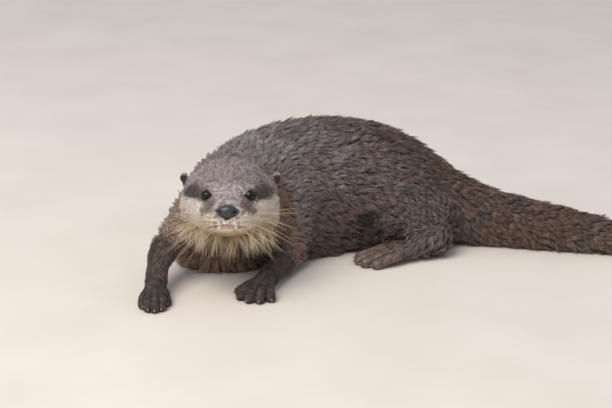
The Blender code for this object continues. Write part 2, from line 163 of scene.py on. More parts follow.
print("camera", CAMERA_PLACE, "floor", FLOOR_SIZE, "m across")

# %% [markdown]
# ## The animal's own landmarks
#
# A hair has to know which way the body runs, so the first need is a line from head to tail. The solids'
# boxes give it: a smooth curve through the middles of head, neck, chest, loins and tail. The middle of
# the two eyes is the head's own origin, from which the face is marked out.


# %% Landmarks from the boxes
def middle(node):
    low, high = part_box(node)
    return np.array((low + high) / 2)


def vertices_of(node):
    return np.array([v.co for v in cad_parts[node].data.vertices])


def grade(value, start, end):
    """0 at start and beyond it, 1 at end, with a soft ramp between. start may be above end."""
    t = np.clip((np.asarray(value, float) - start) / (end - start), 0, 1)
    return t * t * (3 - 2 * t)


def unit(vectors):
    return vectors / np.maximum(np.linalg.norm(vectors, axis=-1, keepdims=True), 1e-12)


EYE_MIDDLES = {side: middle(f"eye_{side}") for side in ("left", "right")}
EYE_RADIUS = float((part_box("eye_left")[1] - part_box("eye_left")[0]).z) / 2
BROW = (EYE_MIDDLES["left"] + EYE_MIDDLES["right"]) / 2
NOSE_MIDDLE = middle("nose")
NECK_MIDDLE, CHEST_MIDDLE = middle("neck"), middle("chest")
NECK_TO_CHEST = unit((CHEST_MIDDLE - NECK_MIDDLE) * (1, 1, 0))
print("brow", (BROW / MM).round(), "eye radius", round(EYE_RADIUS / MM, 1))


# %% The spine line
def smooth_line(knots, steps=24):
    """Points on a Catmull-Rom curve through the knots."""
    knots = np.vstack([2 * knots[0] - knots[1], knots, 2 * knots[-1] - knots[-2]])
    t = np.linspace(0, 1, steps, endpoint=False)[:, None]
    spans = [0.5 * (2 * b + (c - a) * t + (2 * a - 5 * b + 4 * c - d) * t ** 2
                    + (3 * b - a - 3 * c + d) * t ** 3)
             for a, b, c, d in zip(knots, knots[1:], knots[2:], knots[3:])]
    return np.vstack(spans + [knots[-2]])


TRUNK = ("head", "neck", "chest", "loins", "tail_root", "tail_middle", "tail_tip")
tail_low, tail_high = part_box("tail_tip")
tail_end = np.array([tail_high.x, tail_low.y + 0.3 * (tail_high.y - tail_low.y), 0.008])
spine = smooth_line(np.vstack([middle(node) for node in TRUNK] + [tail_end]))
spine_heading = unit(np.gradient(spine, axis=0))
spine_tree = KDTree(len(spine))
for index, point in enumerate(spine):
    spine_tree.insert(point, index)
spine_tree.balance()
print("spine", len(spine), "points,", round(np.linalg.norm(np.diff(spine, axis=0), axis=1).sum() / MM), "mm")

# %% [markdown]
# ## One skin
#
# The solids part the body with thin cuts. The skin closes them again: all the flesh is grown by a hair,
# joined, and remeshed in small voxels, which keeps only the outside. Smoothing then takes the flat
# facets out. Voxels are the right tool here, because they don't care how the pieces overlap.

# %% Fuse the flesh
SKIN_VOXEL = 2.35 * MM
CLOSE_CUTS = 0.25 * MM


def new_piece(name, mesh, *materials):
    piece = bpy.data.objects.new(name, mesh)
    scene.collection.objects.link(piece)
    for material in materials:
        mesh.materials.append(material)
    return piece


def applied(piece):
    """The piece's mesh with its modifiers applied, as a new mesh; the old one goes."""
    graph = bpy.context.evaluated_depsgraph_get()
    mesh = bpy.data.meshes.new_from_object(piece.evaluated_get(graph))
    piece.modifiers.clear()
    piece.data = mesh
    return mesh


flesh = [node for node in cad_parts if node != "nose"]
whole = bmesh.new()
for node in flesh:
    whole.from_mesh(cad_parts[node].data)
bmesh.ops.remove_doubles(whole, verts=whole.verts, dist=1e-6)
whole.normal_update()
for vertex in whole.verts:
    vertex.co += vertex.normal * CLOSE_CUTS
skin = new_piece("skin", bpy.data.meshes.new("skin"))
whole.to_mesh(skin.data)
whole.free()
remesh = skin.modifiers.new("voxels", "REMESH")
remesh.mode = "VOXEL"
remesh.voxel_size = SKIN_VOXEL
applied(skin)
print("skin", len(skin.data.vertices), "points")

# %% [markdown]
# ## Where the toes are
#
# Each paw has five toes fanned round its heading. A toe runs from its root, over a bent joint, to its
# tip on the floor. The places are kept as shares of the paw's width, so one layout serves a left and a
# right paw. The claws are set on the same tips later.

# %% Toes of each paw
TOES = {
    # root's side and reach, tip's side and reach, in widths of the paw from the middle of its knuckles
    "forepaw": (
        ((0.36, -0.45), (0.52, -0.02)),
        ((0.27, -0.02), (0.32, 0.44)),
        ((0.04, 0.06), (0.04, 0.58)),
        ((-0.19, 0.02), (-0.23, 0.50)),
        ((-0.36, -0.20), (-0.46, 0.22)),
    ),
    "hindfoot": (
        ((0.40, -0.30), (0.56, 0.42)),
        ((0.22, -0.05), (0.32, 0.86)),
        ((0.00, 0.00), (0.02, 0.98)),
        ((-0.22, -0.05), (-0.28, 0.88)),
        ((-0.40, -0.25), (-0.52, 0.60)),
    ),
}
PAWS = {
    # middle of the knuckles in mm, heading in degrees, paw's width in mm, spread, 1 or -1 for a mirrored paw
    "forepaw_right": ((-268.8, -141.9), -88, 27, 0.8, 1),
    "forepaw_left": ((-177.8, -119.9), -112, 27, 1.3, -1),
    "hindfoot_left": ((-54.0, -24.7), 196, 31, 1.0, -1),
    "hindfoot_right": ((-44.6, 134.6), 156, 31, 1.0, 1),
}
TOE_RADIUS, KNUCKLE_HEIGHT, FLOOR_SINK = 4.4 * MM, 8.5 * MM, 0.8 * MM
FOREPAW_WIDTH = PAWS["forepaw_left"][2]
JOINT_SHARE, JOINT_LOWER = 0.55, 0.92


def paw_directions(node):
    """The way that a paw points, and the way across it to its thumb."""
    heading = math.radians(PAWS[node][1])
    forward = np.array([math.cos(heading), math.sin(heading), 0])
    return forward, np.array([-forward[1], forward[0], 0]) * PAWS[node][4]


def toes_of(node):
    """Each toe of a paw as its root, tip, joint and radius."""
    place, _, width, spread, _ = PAWS[node]
    forward, inward = paw_directions(node)
    knuckles = np.array([*place, 0]) * MM
    found = []
    for (root_side, root_ahead), (tip_side, tip_ahead) in TOES[node.split("_")[0]]:
        root = knuckles + (inward * root_side + forward * root_ahead) * width * MM
        tip = knuckles + (inward * tip_side * spread + forward * tip_ahead) * width * MM
        joint = root + JOINT_SHARE * (tip - root)
        radius = TOE_RADIUS * width / FOREPAW_WIDTH
        root[2], joint[2], tip[2] = KNUCKLE_HEIGHT, KNUCKLE_HEIGHT * JOINT_LOWER, radius - FLOOR_SINK
        found.append((root, tip, joint, radius))
    return found


PAW_NODES = [node for node in flesh if node.startswith(("forepaw", "hindfoot"))]
print("toes:", sum(len(toes_of(node)) for node in PAW_NODES))

# %% [markdown]
# ## Finer mesh on the face and toes
#
# Voxels of this size are fine enough under long fur, but lids, lips, ears and toes need smaller faces.
# Only the faces near them are subdivided, once over the face and once more round each feature.

# %% Subdivide near the features
EARS = {side: BROW + np.array([sign * 42, 42, 0]) * MM for side, sign in (("left", 1), ("right", -1))}
MOUTH = BROW + np.array([0, -30, -18]) * MM
FACE_REACH, EYE_REACH, MOUTH_REACH, EAR_REACH = 52 * MM, 10 * MM, 15 * MM, 11 * MM
PAW_REACH, TOE_REACH = 30 * MM, 9 * MM


def subdivide_near(mesh, places):
    """Cuts every edge near one of the (place, reach) pairs in two."""
    fine = bmesh.new()
    fine.from_mesh(mesh)
    near = [edge for edge in fine.edges
            if any((edge.verts[0].co - place).length < reach for place, reach in places)]
    bmesh.ops.subdivide_edges(fine, edges=near, cuts=1, use_grid_fill=True)
    fine.to_mesh(mesh)
    fine.free()


face_middle = BROW + np.array([0, -6, -8]) * MM
subdivide_near(skin.data, [(Vector(face_middle), FACE_REACH)])
features = [(place, EYE_REACH) for place in EYE_MIDDLES.values()]
features += [(MOUTH, MOUTH_REACH), *((place, EAR_REACH) for place in EARS.values())]
features += [(middle(node), PAW_REACH) for node in PAW_NODES]
subdivide_near(skin.data, [(Vector(place), reach) for place, reach in features])
toe_tips = [tip for node in PAW_NODES for _, tip, _, _ in toes_of(node)]
subdivide_near(skin.data, [(Vector(tip), TOE_REACH) for tip in toe_tips])
print("skin with a finer face and toes:", len(skin.data.vertices), "points")

# %% [markdown]
# ## Working on the skin as arrays
#
# From here the skin's points are one array, so a change to all of them is one line. Three helpers
# carry the work: the mean over each point's neighbours, the normals, and the part that each point
# belongs to, which is that of the nearest solid.


# %% Points, neighbours, normals
def read_points(mesh):
    found = np.empty(len(mesh.vertices) * 3)
    mesh.vertices.foreach_get("co", found)
    return found.reshape(-1, 3)


def read_edges(mesh):
    found = np.empty(len(mesh.edges) * 2, int)
    mesh.edges.foreach_get("vertices", found)
    return found.reshape(-1, 2)


def read_triangles(mesh):
    """Each triangle's three points, and its three corners' places in the list of loops."""
    mesh.calc_loop_triangles()
    corners = np.empty(len(mesh.loop_triangles) * 3, int)
    loops = np.empty(len(mesh.loop_triangles) * 3, int)
    mesh.loop_triangles.foreach_get("vertices", corners)
    mesh.loop_triangles.foreach_get("loops", loops)
    return corners.reshape(-1, 3), loops.reshape(-1, 3)


points = read_points(skin.data)
edges = read_edges(skin.data)
triangles, triangle_loops = read_triangles(skin.data)
COUNT = len(points)
valence = np.bincount(edges.ravel(), minlength=COUNT)[:, None]


def neighbour_mean(values):
    first, second = edges.T
    columns = np.asarray(values, float).reshape(COUNT, -1).T
    sums = [np.bincount(first, column[second], COUNT) + np.bincount(second, column[first], COUNT)
            for column in columns]
    return (np.array(sums).T / valence).reshape(np.shape(values))


def blur(values, rounds):
    for _ in range(rounds):
        values = 0.5 * values + 0.5 * neighbour_mean(values)
    return values


def normals_of(places):
    a, b, c = (places[triangles[:, k]] for k in range(3))
    facing = np.cross(b - a, c - a)
    sums = [sum(np.bincount(triangles[:, k], facing[:, axis], COUNT) for k in range(3)) for axis in range(3)]
    return unit(np.array(sums).T)


# %% Which part each point is on
solid_points, solid_faces, face_part = [], [], []
for index, node in enumerate(flesh):
    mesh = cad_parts[node].data
    start = len(solid_points)
    solid_points += [v.co.copy() for v in mesh.vertices]
    solid_faces += [[start + v for v in face.vertices] for face in mesh.polygons]
    face_part += [index] * len(mesh.polygons)
solids = BVHTree.FromPolygons(solid_points, solid_faces)
part = np.array([face_part[solids.find_nearest(Vector(p))[2]] for p in points])


def share_of(*names, rounds=10):
    """How far each point is on parts whose names start so, from 0 to 1, blurred at the borders."""
    on = [index for index, node in enumerate(flesh) if node.startswith(names)]
    return blur(np.isin(part, on).astype(float), rounds)


print({node: int((part == index).sum()) for index, node in enumerate(flesh)})

# %% [markdown]
# ## Smooth away the facets, keep the features
#
# Each round moves a point part of the way to the mean of its neighbours. The trunk takes many rounds.
# The paws, ears and face take few, or the toes and the muzzle would melt.

# %% Smooth the skin
fine_shape = share_of("forepaw", "hindfoot", "ear", rounds=4)
head_share = share_of("head", "ear", "eye")
TRUNK_ROUNDS, HEAD_ROUNDS, PAW_ROUNDS = 60, 14, 4
rounds_wanted = np.where(fine_shape > 0.4, PAW_ROUNDS, np.where(head_share > 0.5, HEAD_ROUNDS, TRUNK_ROUNDS))
rounds_wanted = blur(rounds_wanted.astype(float), 12)
for index in range(TRUNK_ROUNDS):
    strength = 0.5 * np.clip(rounds_wanted - index, 0, 1)[:, None]
    points = points + strength * (neighbour_mean(points) - points)
print("smoothed, box in mm:", (np.ptp(points, axis=0) / MM).round())

# %% [markdown]
# ## Under the coat
#
# The solids reach to the tips of the coat, so the skin goes in by the coat's depth: most on the trunk,
# hardly at all on the feet and round the eyes. Near the floor the coat is pressed flat, so the skin
# stays close to it. The same table gives the hairs' length, width and number, so depth and hair agree.

# %% The coat, part by part, in millimetres
COAT = {
    # part: (depth, hair length, hair width, hairs per square millimetre)
    "head": (3.4, 7.0, 0.52, 1.7),
    "eye": (0.8, 1.6, 0.34, 2.2),
    "ear": (0.5, 1.7, 0.34, 2.2),
    "neck": (5.5, 12.0, 0.74, 1.00),
    "chest": (6.2, 13.5, 0.80, 0.88),
    "loins": (6.2, 14.5, 0.84, 0.84),
    "tail_root": (5.0, 13.0, 0.80, 0.92),
    "tail_middle": (4.2, 12.0, 0.76, 0.98),
    "tail_tip": (3.2, 10.0, 0.68, 1.05),
    "foreleg": (2.0, 5.0, 0.60, 1.10),
    "hindleg": (4.4, 11.0, 0.74, 0.98),
    "forepaw": (0.4, 1.6, 0.36, 0.90),
    "hindfoot": (0.3, 1.3, 0.34, 0.60),
}
prefix_of = [next(name for name in COAT if node.startswith(name)) for node in flesh]
table = np.array([COAT[name] for name in prefix_of])[part]
depth, hair_length, hair_width, hair_number = blur(table, 22).T

on_head = (points - BROW) / MM
side, back, up = on_head.T
across = np.abs(side)
from_nose = np.linalg.norm(points - NOSE_MIDDLE, axis=1) / MM
from_eye = np.min([np.linalg.norm(points - place, axis=1) for place in EYE_MIDDLES.values()], axis=0) / MM
face_growth = np.clip(0.22 + 0.78 * grade(from_nose, 14, 74), 0.22, 1)
face_growth *= 0.45 + 0.55 * grade(from_eye, 7, 16)
from_ear = np.min([np.linalg.norm(points - place, axis=1) for place in EARS.values()], axis=0) / MM
face_growth *= 0.6 + 0.4 * grade(from_ear, 8, 14)
face_growth = 1 + head_share * (face_growth - 1)
pressed = 0.18 + 0.82 * grade(points[:, 2] / MM, 1.5, 20)
depth = depth * face_growth * pressed
hair_length = np.maximum(hair_length * face_growth, 1.2)
hair_width = np.maximum(hair_width * face_growth ** 0.7, 0.30)
hair_number = hair_number * (1 + 0.9 * head_share * (1 - face_growth))
depth = blur(depth, 6)

for _ in range(4):
    points = points - normals_of(points) * (depth * MM / 4)[:, None]
    points = points + 0.3 * (neighbour_mean(points) - points) * (1 - fine_shape * 0.9)[:, None]
print("coat depth in mm:", depth.min().round(2), "to", depth.max().round(2))

# %% [markdown]
# ## Lids, lips and ears
#
# These are sculpted by moving the skin's points with small formulas, the way a sculptor would press
# them in. A lid is the skin drawn over the eyeball with an almond opening: inside the opening the skin
# drops behind the ball, and outside it the skin stands a lid's thickness above it.

# %% Lids
GAZE = {"left": unit(np.array([0.34, -0.90, 0.24])), "right": unit(np.array([-0.34, -0.90, 0.24]))}
OPENING_WIDE, OPENING_HIGH = 57, 50
LID_THICKNESS = 0.75 * MM


def eye_angles(side_name, places):
    """Each place's direction from the eye's middle, as degrees across and up from the gaze."""
    gaze = GAZE[side_name]
    level = unit(np.cross(gaze, (0, 0, 1)))
    above = np.cross(level, gaze)
    away = places - EYE_MIDDLES[side_name]
    forward = away @ gaze
    return (np.degrees(np.arctan2(away @ level, forward)), np.degrees(np.arctan2(away @ above, forward)),
            np.linalg.norm(away, axis=1), away)


lid_rim = np.zeros(COUNT)
for side_name in EYE_MIDDLES:
    wide, high, distance, away = eye_angles(side_name, points)
    form = (np.abs(wide) / OPENING_WIDE) ** 1.7 + (np.abs(high) / OPENING_HIGH) ** 1.7
    near = distance < 10.5 * MM
    lid = EYE_RADIUS + LID_THICKNESS * grade(form, 0.92, 1.12) - 1.3 * MM * grade(form, 1.04, 0.90)
    drawn = near * grade(form, 2.9, 1.5)
    target = EYE_MIDDLES[side_name] + unit(away) * lid[:, None]
    points = points + (target - points) * drawn[:, None]
    lid_rim = np.maximum(lid_rim, near * grade(form, 1.75, 1.15))
print("lids drawn over", int((lid_rim > 0.5).sum()), "points")

# %% Mouth and cleft lip
MOUTH_HALF_WIDTH = 15


def mouth_height(x):
    """The mouth line's height under the brow at x mm to the side: an arch that runs down to the corners."""
    return -17.6 - 0.022 * np.minimum(x, 10) ** 2 - 0.16 * np.maximum(x - 10, 0)


below_line = (points[:, 2] - BROW[2]) / MM - mouth_height(across)
muzzle = grade(back, -19, -24) * grade(across, MOUTH_HALF_WIDTH + 3, MOUTH_HALF_WIDTH - 3)
crease = np.exp(-((below_line / 0.75) ** 2))
lower_lip = np.exp(-(((below_line + 2.1) / 1.2) ** 2)) * grade(across, 10, 6)
cleft = np.exp(-((side / 0.6) ** 2)) * grade(up, -18.5, -17) * grade(up, -10, -12)
carve = muzzle * (1.5 * crease + 0.9 * cleft - 0.55 * lower_lip)
points = points - normals_of(points) * (carve * MM)[:, None]
mouth_colour = muzzle * grade(across, 8, 5) * grade(below_line, 0.9, 0.1) * grade(below_line, -3.6, -2.0)

# %% Ears
EAR_TURN, EAR_GROWTH, HOLLOW_DEPTH = math.radians(34), 0.22, 2.6 * MM
HOLLOW_HALF_WIDTH, HOLLOW_HALF_HEIGHT, AROUND_EAR = 5.0, 6.6, 20 * MM
ear_hollow_shade = np.zeros(COUNT)
ear_share = share_of("ear", rounds=4)[:, None]
for side_name, sign in (("left", 1), ("right", -1)):
    close = (np.linalg.norm(points - EARS[side_name], axis=1) < AROUND_EAR)[:, None]
    from_middle = points - EARS[side_name] + np.array([-sign, 0, -3]) * MM
    points = points + EAR_GROWTH * ear_share * close * from_middle
    facing = np.array([sign * math.sin(EAR_TURN), -math.cos(EAR_TURN), 0.12])
    along = np.array([math.cos(EAR_TURN), sign * math.sin(EAR_TURN), 0])
    away = (points - EARS[side_name]) / MM - np.array([0, 3.5, 0])
    reach = np.hypot((away @ along) / HOLLOW_HALF_WIDTH, away[:, 2] / HOLLOW_HALF_HEIGHT)
    in_front = grade(away @ facing, -0.6, 0.6) * (np.abs(away @ facing) < 7)
    hollow = np.clip(1 - reach ** 2, 0, 1) ** 0.6 * in_front
    points = points - facing * (HOLLOW_DEPTH * hollow)[:, None]
    # The hollow is kept as a mask, by which the ear's inside is painted dark: painted shade in the hollow.
    ear_hollow_shade = np.maximum(ear_hollow_shade, grade(reach, 1.05, 0.7) * in_front)
print("ear hollows on", int((ear_hollow_shade > 0.5).sum()), "points")

# %% [markdown]
# ## Toes
#
# The voxels melted the toes together. Each point past the knuckles is moved along its normal towards
# the surface of the nearest toe, a little at a time, so the clefts between the toes open again. Points
# that are about as near to one toe as to the next lie in a cleft, and are painted darker there as
# painted shade in the cleft. The rule's reach round a paw also takes in a little of the flank beside the
# hind foot, which it darkens too with the same painted shade.

# %% Toes
TOE_PULLS, TOE_PULL, MOST_OUT, MOST_IN = 3, 0.8, 0.5 * MM, 1.1 * MM
AROUND_PAW = 45 * MM


def from_rod(places, start, end):
    """Each place's distance from the middle line of a rod."""
    along = np.clip((places - start) @ (end - start) / ((end - start) @ (end - start)), 0, 1)
    return np.linalg.norm(places - start - along[:, None] * (end - start), axis=1)


toe_cleft_shade = np.zeros(COUNT)
for node in PAW_NODES:
    forward, _ = paw_directions(node)
    toes = toes_of(node)
    knuckle = np.mean([toe[0] for toe in toes], axis=0)
    close = np.linalg.norm(points - middle(node), axis=1) < AROUND_PAW
    past = grade((points - knuckle) @ forward / MM, -2, 5) * close
    for _ in range(TOE_PULLS):
        rods = [np.minimum(from_rod(points, root, joint), from_rod(points, joint, tip)) - radius
                for root, tip, joint, radius in toes]
        outside = np.clip(np.min(rods, axis=0), -MOST_OUT, MOST_IN)
        points = points - normals_of(points) * (outside * TOE_PULL * past)[:, None]
    nearest_two = np.sort(rods, axis=0)[:2]
    # Painted shade: points about as near to one toe as to the next lie in a cleft and are painted dark.
    toe_cleft_shade = np.maximum(toe_cleft_shade, past * grade((nearest_two[1] - nearest_two[0]) / MM, 1.6, 0.2))
points = points + 0.12 * (neighbour_mean(points) - points)
points[:, 2] = np.maximum(points[:, 2], 0.2 * MM)
skin.data.vertices.foreach_set("co", points.ravel())
skin.data.update()
skin.data.shade_smooth()
print("clefts between toes on", int((toe_cleft_shade > 0.5).sum()), "points")

# %% [markdown]
# ## The lie of the coat
#
# Fur lies back from the nose over the head, along the spine on the trunk and tail, and towards the
# paws on the limbs. Each part gets its own plain rule, and blurring the directions over the skin joins
# them, as real fur turns gradually. A slow noise then turns the fur a little, here more, there less.


# %% Directions on each part
def long_axis(node, towards=None):
    """The direction in which a part is longest, pointing towards a place."""
    places = vertices_of(node)
    middle_place = places.mean(axis=0)
    axis = np.linalg.svd(places - middle_place, full_matrices=False)[2][0]
    return axis if (towards - middle_place) @ axis > 0 else -axis


nearest = [spine_tree.find(p)[1] for p in points]
lie = spine_heading[nearest]
normal = normals_of(points)
lie[:, 2] -= 0.45 * (1 - np.abs(normal[:, 2])) * (1 - head_share)
off_nose = unit(points - (NOSE_MIDDLE + np.array([0, 4, 0]) * MM))
off_nose[:, 2] -= 0.25 * grade(up, 0, -25)
lie = lie + (off_nose - lie) * share_of("head", "eye", rounds=3)[:, None]
for side_name, sign in (("left", 1), ("right", -1)):
    paw, foot = middle(f"forepaw_{side_name}"), middle(f"hindfoot_{side_name}")
    toes = foot + (foot - middle(f"hindleg_{side_name}")) * (1, 1, 0)
    foot_axis = long_axis(f"hindfoot_{side_name}", toes)
    hock = foot - foot_axis * 60 * MM + np.array([0, 0, 4]) * MM
    rules = {f"foreleg_{side_name}": unit(paw - middle(f"foreleg_{side_name}")),
             f"forepaw_{side_name}": unit(paw - middle(f"foreleg_{side_name}")),
             f"hindleg_{side_name}": unit(hock - points),
             f"hindfoot_{side_name}": foot_axis,
             f"ear_{side_name}": unit(np.array([sign * 0.5, 0.15, 0.8]))}
    for node, direction in rules.items():
        on_part = part == flesh.index(node)
        lie[on_part] = np.broadcast_to(direction, points.shape)[on_part]
lie = blur(lie, 26)


def along_skin(vectors):
    return unit(vectors - normal * np.sum(vectors * normal, axis=1, keepdims=True))


lie = along_skin(lie)
swirl = np.array([noise.noise(Vector(p / (26 * MM))) for p in points])
swirl = np.radians(30) * swirl * (1 - 0.7 * head_share)
lie = lie * np.cos(swirl)[:, None] + np.cross(normal, lie) * np.sin(swirl)[:, None]
print("lie set; mean heading", lie.mean(axis=0).round(2))

# %% [markdown]
# ## Markings and painted light
#
# Skin and coat wear the same markings, and some painted light with them: a painted sky sheen on the
# upper side of the shoulders and fore back, lighter hair where the tail faces up into the light, a
# painted lavender sky reflection in the crown's tips, and painted shade in the ear hollows and between
# the toes. Each one is a mask from 0 to 1 at every point of the skin, worked out from distances to the
# landmarks, and it is stored as an attribute that the materials read.

# %% Masks
FRAY = 0.9
fray = blur(np.random.default_rng(3).normal(0, 1, COUNT), 3)
fray *= FRAY / fray.std()
frayed_up, frayed_side = up + fray, across + np.roll(fray, 500)
cheek_top = np.interp(across, [0, 8.5, 13, 20, 28, 42], [-13.5, -13.0, -9.5, -6.8, -5.2, -2.8])
cheek = head_share * grade(frayed_up - cheek_top, 2.2, -2.2)
cheek *= grade(back - 15 + 0.46 * up + 2 * fray, 6, -6)
throat_share = share_of("head", "neck", rounds=14)
throat = throat_share * grade(up, -23, -33) * grade(back, 78, 60)
chin = grade(np.hypot(side / 21, (back + 14) / 26), 1.1, 0.6) * grade(up, -22, -27)
throat = np.maximum(throat * 0.75, chin * head_share)
patch = np.hypot((frayed_side - 28) / 14.0, (frayed_up - 3.2 + 0.08 * across) / 6.2)
patch = 0.92 * grade(patch, 1.3, 0.5) * grade(back, 28, 18) * grade(across, 13, 20)
streak_along = np.clip(((across - 13.5) * 11 + (-1.0 - up) * 9.5) / (11 ** 2 + 9.5 ** 2), 0, 1)
streak = np.hypot(across - 13.5 - 11 * streak_along, up + 1.0 + 9.5 * streak_along)
streak = 0.8 * grade(streak + fray, 3.2, 0.6) * grade(back, -2, -6) * head_share
SPOTS = [(-10.5, -15.5, 2.2), (-11.0, -19.5, 2.6), (10.0, -16.5, 2.2), (10.8, -20.5, 2.0), (2.0, -14.6, 1.6),
         (-5.0, -14.9, 1.7), (6.0, -23.5, 1.3)]
spots = np.max([grade(np.hypot(side - x, up - z), 1.3 * size, 0) for x, z, size in SPOTS], axis=0)
spots = 0.7 * spots * muzzle
crown = head_share * (1 - cheek) * (1 - 0.95 * patch) * (1 - 0.8 * streak)
past_neck = ((points - NECK_MIDDLE) @ NECK_TO_CHEST) / MM
limb = share_of("foreleg", "forepaw", rounds=12)
ruff = grade(past_neck, 24, 10) * (1 - head_share) * grade(points[:, 2] / MM, 112, 84) * (1 - limb)
ruff = np.maximum(ruff, head_share * grade(back, 20, 34) * grade(up, 12, -4) * (1 - cheek))
# Painted reflection: where the skin faces up over the shoulders and fore back, the hair is painted
# lavender-grey at the tips and lighter at the roots, standing in for the sky's sheen on wet fur.
mantle = grade(past_neck, 150, 40) * grade(normal[:, 2], -0.1, 0.75) * (1 - head_share)
# Painted light: where the tail faces up into the light, its hair is painted with much lighter roots than on
# the shaded underside.
lit_tail_top = share_of("tail", rounds=16) * grade(normal[:, 2], -0.5, 0.5) * grade(points[:, 0] / MM, 40, 120)
thigh = share_of("hindleg", rounds=10)
bare = share_of("hindfoot", rounds=6)
paw = share_of("forepaw", rounds=6)
MASKS = {"cheek": cheek, "throat": throat, "patch": patch, "streak": streak, "spots": spots, "crown": crown,
         "ruff": ruff, "mantle": mantle, "lit_tail_top": lit_tail_top, "thigh": thigh, "limb": limb, "bare": bare, "paw": paw,
         "rim": lid_rim, "lip": 0.85 * mouth_colour, "ear": ear_hollow_shade, "crease": toe_cleft_shade}


def write_number(mesh, name, values):
    made = mesh.attributes.new(name, "FLOAT", "POINT")
    made.data.foreach_set("value", np.asarray(values, np.float32))


for name, values in MASKS.items():
    write_number(skin.data, name, values)
print({name: round(float(values.mean()), 3) for name, values in MASKS.items()})

# %% [markdown]
# ## Unwrap the skin
#
# The skin gets a flat map, and each tuft sits on the map where its root sits on the skin. The map is
# cut into islands by angle, which is quick and has no long, thin pieces.

# %% Unwrap
bpy.context.view_layer.objects.active = skin
skin.select_set(True)
skin.data.uv_layers.new(name="OFBake")
bpy.ops.object.mode_set(mode="EDIT")
bpy.ops.mesh.select_all(action="SELECT")
bpy.ops.uv.smart_project(angle_limit=math.radians(72), island_margin=0.004)
bpy.ops.object.mode_set(mode="OBJECT")
unwrap = np.empty(len(skin.data.loops) * 2)
skin.data.uv_layers["OFBake"].data.foreach_get("uv", unwrap)
unwrap = unwrap.reshape(-1, 2)
triangles, triangle_loops = read_triangles(skin.data)
print("unwrapped", len(unwrap), "corners")

# %% [markdown]
# ## Materials for skin and hair
#
# One node group paints every marking and the painted light with them, so skin and coat can't drift
# apart. For each one it mixes in two colours, one for the hair's root and one for its tip, by the mask of
# that name. Fur is darkest at the root, where no light comes: the dark root colours are painted shade
# for the depth of the coat, and the tips are bleached lighter.

# %% The markings and painted light as a node group
ZONES = {
    # mask: (root colour, tip colour)
    # painted sky reflection on the upper side of the shoulders and fore back
    "mantle": (paint(54, 45, 44), paint(212, 198, 200)),
    # painted light on the upper side of the tail
    "lit_tail_top": (paint(72, 56, 48), paint(156, 128, 112)),
    "thigh": (paint(34, 29, 27), paint(164, 147, 138)),
    "limb": (paint(38, 31, 29), paint(150, 128, 116)),
    "ruff": (paint(112, 86, 70), paint(188, 156, 136)),
    # partly painted reflection: the crown's own grey-brown hair, with a painted lavender sky reflection in
    # its tip colour
    "crown": (paint(84, 70, 68), paint(222, 206, 206)),
    "patch": (paint(38, 31, 29), paint(106, 86, 74)),
    "cheek": (paint(208, 192, 178), paint(255, 251, 246)),
    "throat": (paint(158, 128, 88), paint(222, 192, 144)),
    "streak": (paint(78, 60, 52), paint(128, 102, 90)),
    "spots": (paint(62, 52, 36), paint(104, 90, 62)),
    # painted shade inside the ear hollows
    "ear": (paint(34, 28, 26), paint(74, 60, 52)),
    "rim": (paint(14, 12, 12), paint(36, 31, 30)),
    "lip": (paint(138, 96, 84), paint(172, 124, 108)),
    "bare": (paint(62, 52, 49), paint(146, 120, 111)),
    "paw": (paint(24, 20, 20), paint(96, 80, 74)),
    # painted shade in the clefts between the toes, and on a little of the flank beside each hind foot
    "crease": (paint(18, 15, 15), paint(34, 28, 27)),
}
# The trunk's dark root colour is painted shade deep in the coat; its tip colour is the coat's own brown.
TRUNK_COLOURS = (paint(20, 16, 15), paint(158, 130, 114))

markings_and_light = bpy.data.node_groups.new("otter_markings", "ShaderNodeTree")
markings_and_light.interface.new_socket("Tip", in_out="INPUT", socket_type="NodeSocketFloat")
markings_and_light.interface.new_socket("Color", in_out="OUTPUT", socket_type="NodeSocketColor")
group_nodes, group_links = markings_and_light.nodes, markings_and_light.links
tip_value = group_nodes.new("NodeGroupInput").outputs["Tip"]
colour = mix(group_nodes, group_links, tip_value, *TRUNK_COLOURS)
for name, (root_colour, tip_colour) in ZONES.items():
    mask = add(group_nodes, "ShaderNodeAttribute", attribute_name=name)
    shade = mix(group_nodes, group_links, tip_value, root_colour, tip_colour)
    colour = mix(group_nodes, group_links, mask.outputs["Fac"], colour, shade)
group_links.new(colour, group_nodes.new("NodeGroupOutput").inputs["Color"])
print("markings:", ", ".join(ZONES))

# %% The coat's material
fur, nodes, links, shader = new_material("otter_fur", Roughness=0.52, Sheen_Weight=0.15, Sheen_Roughness=0.4)
tip = add(nodes, "ShaderNodeAttribute", attribute_name="tip")
lot = add(nodes, "ShaderNodeAttribute", attribute_name="lot")
lock = add(nodes, "ShaderNodeAttribute", attribute_name="lock")
warmth = add(nodes, "ShaderNodeTexNoise", inputs={"Scale": 38.0, "Detail": 3.0})
links.new(add(nodes, "ShaderNodeTexCoord").outputs["Object"], warmth.inputs["Vector"])
lightness = add(nodes, "ShaderNodeMath", operation="MULTIPLY_ADD", use_clamp=True)
for node_output, socket in ((tip.outputs["Fac"], 0), (lock.outputs["Fac"], 1), (lot.outputs["Fac"], 2)):
    links.new(node_output, lightness.inputs[socket])
painted = add(nodes, "ShaderNodeGroup", node_tree=markings_and_light)
links.new(lightness.outputs[0], painted.inputs["Tip"])
warm_share = add(nodes, "ShaderNodeMapRange", inputs={"From Min": 0.4, "From Max": 0.7, "To Max": 0.5})
links.new(warmth.outputs["Fac"], warm_share.inputs["Value"])
warmed = mix(nodes, links, warm_share.outputs[0], painted.outputs["Color"], paint(226, 188, 158), "MULTIPLY")
links.new(warmed, shader.inputs["Base Color"])

